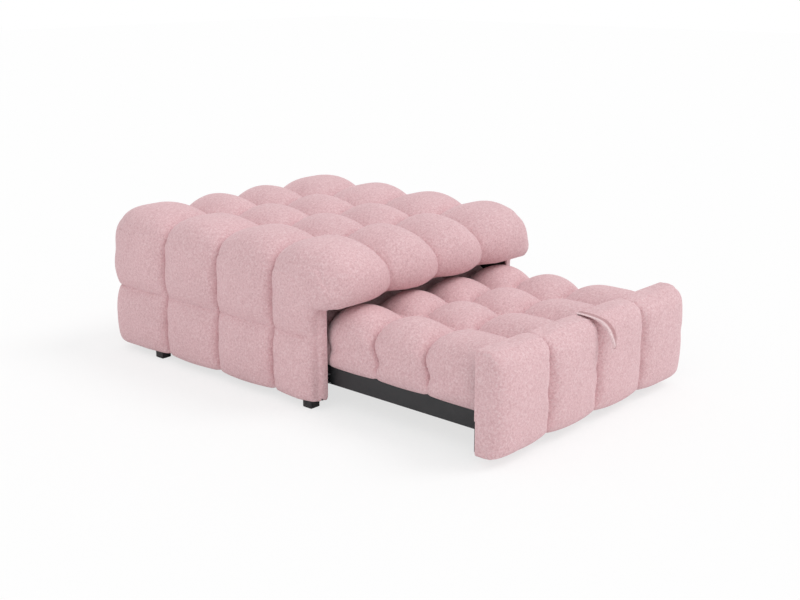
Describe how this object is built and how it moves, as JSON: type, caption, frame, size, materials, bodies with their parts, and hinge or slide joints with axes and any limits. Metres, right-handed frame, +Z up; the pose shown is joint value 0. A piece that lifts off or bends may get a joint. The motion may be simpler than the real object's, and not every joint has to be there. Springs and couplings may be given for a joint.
{
  "type": "pull-out sofa bed",
  "caption": "Low tufted upholstered block with a rounded overhanging front edge and a tufted bed section on wheels that slides out from under it by a strap.",
  "frame": {"origin": "centre of the whole part on the floor, with the bed section pulled out", "axes": "+X to the right seen from the front, front and pull direction along -Y, +Z up"},
  "size_m": [1.0076, 1.6964, 0.505],
  "materials": {
    "boucle": "pink boucle upholstery over foam",
    "frame_wood": "plywood and pine",
    "spring_steel": "bright drawn wire",
    "felt": "grey needled felt",
    "lining": "black non-woven lining",
    "foot_plastic": "black moulded",
    "zinc": "zinc plated",
    "rubber": "black",
    "black_steel": "satin black powder coat",
    "slat_wood": "bent birch ply",
    "black_board": "black faced board",
    "wheel_plastic": "dark grey nylon"
  },
  "bodies": {
    "block": {"left_side_frame": "frame_wood", "right_side_frame": "frame_wood", "back_frame": "frame_wood", "front_seat_rail": "frame_wood", "rear_seat_rail": "frame_wood", "left_seat_batten": "frame_wood", "right_seat_batten": "frame_wood", "seat_springs": "spring_steel", "spring_clips": "spring_steel", "seat_felt": "felt", "bay_lining": "lining", "seat_cushion": "boucle", "left_side_pad": "boucle", "right_side_pad": "boucle", "back_pad": "boucle", "front_left_foot": "foot_plastic", "rear_left_foot": "foot_plastic", "front_right_foot": "foot_plastic", "rear_right_foot": "foot_plastic", "foot_screws": "zinc", "corner_brackets": "zinc", "bracket_screws": "zinc", "left_runner": "zinc", "right_runner": "zinc", "runner_screws": "zinc", "runner_stops": "rubber"},
    "bed_section": {"left_bed_rail": "black_steel", "right_bed_rail": "black_steel", "front_cross_tube": "black_steel", "middle_cross_tube": "black_steel", "rear_cross_tube": "black_steel", "slats": "slat_wood", "slat_screws": "zinc", "mattress": "boucle", "panel_board": "black_board", "panel_pad": "boucle", "panel_brackets": "black_steel", "panel_bolts": "zinc", "pull_strap": "boucle", "strap_packer": "foot_plastic", "strap_screws": "zinc", "roller_axles": "zinc", "left_caster_fork": "black_steel", "right_caster_fork": "black_steel", "caster_axles": "zinc", "caster_bolts": "zinc"},
    "left_caster": {"left_caster_wheel": "wheel_plastic"},
    "right_caster": {"right_caster_wheel": "wheel_plastic"},
    "left_roller": {"left_rear_roller": "wheel_plastic"},
    "right_roller": {"right_rear_roller": "wheel_plastic"}
  },
  "joints": [
    {"name": "bed_slide", "type": "slide", "parent": "block", "child": "bed_section", "axis": [0, -1, 0], "range_m": [-0.577, 0]},
    {"name": "left_caster_spin", "type": "hinge", "parent": "bed_section", "child": "left_caster", "pos_m": [-0.3, -0.67845, 0.025], "axis": [1, 0, 0], "continuous": true},
    {"name": "right_caster_spin", "type": "hinge", "parent": "bed_section", "child": "right_caster", "pos_m": [0.3, -0.67845, 0.025], "axis": [1, 0, 0], "continuous": true},
    {"name": "left_roller_spin", "type": "hinge", "parent": "bed_section", "child": "left_roller", "pos_m": [-0.4275, 0.02955, 0.0955], "axis": [1, 0, 0], "continuous": true},
    {"name": "right_roller_spin", "type": "hinge", "parent": "bed_section", "child": "right_roller", "pos_m": [0.4275, 0.02955, 0.0955], "axis": [1, 0, 0], "continuous": true}
  ],
  "couplings": [
    {"joint": "left_caster_spin", "follows": "bed_slide", "rad_per_m": 40},
    {"joint": "right_caster_spin", "follows": "bed_slide", "rad_per_m": 40},
    {"joint": "left_roller_spin", "follows": "bed_slide", "rad_per_m": 84.746},
    {"joint": "right_roller_spin", "follows": "bed_slide", "rad_per_m": 84.746}
  ]
}
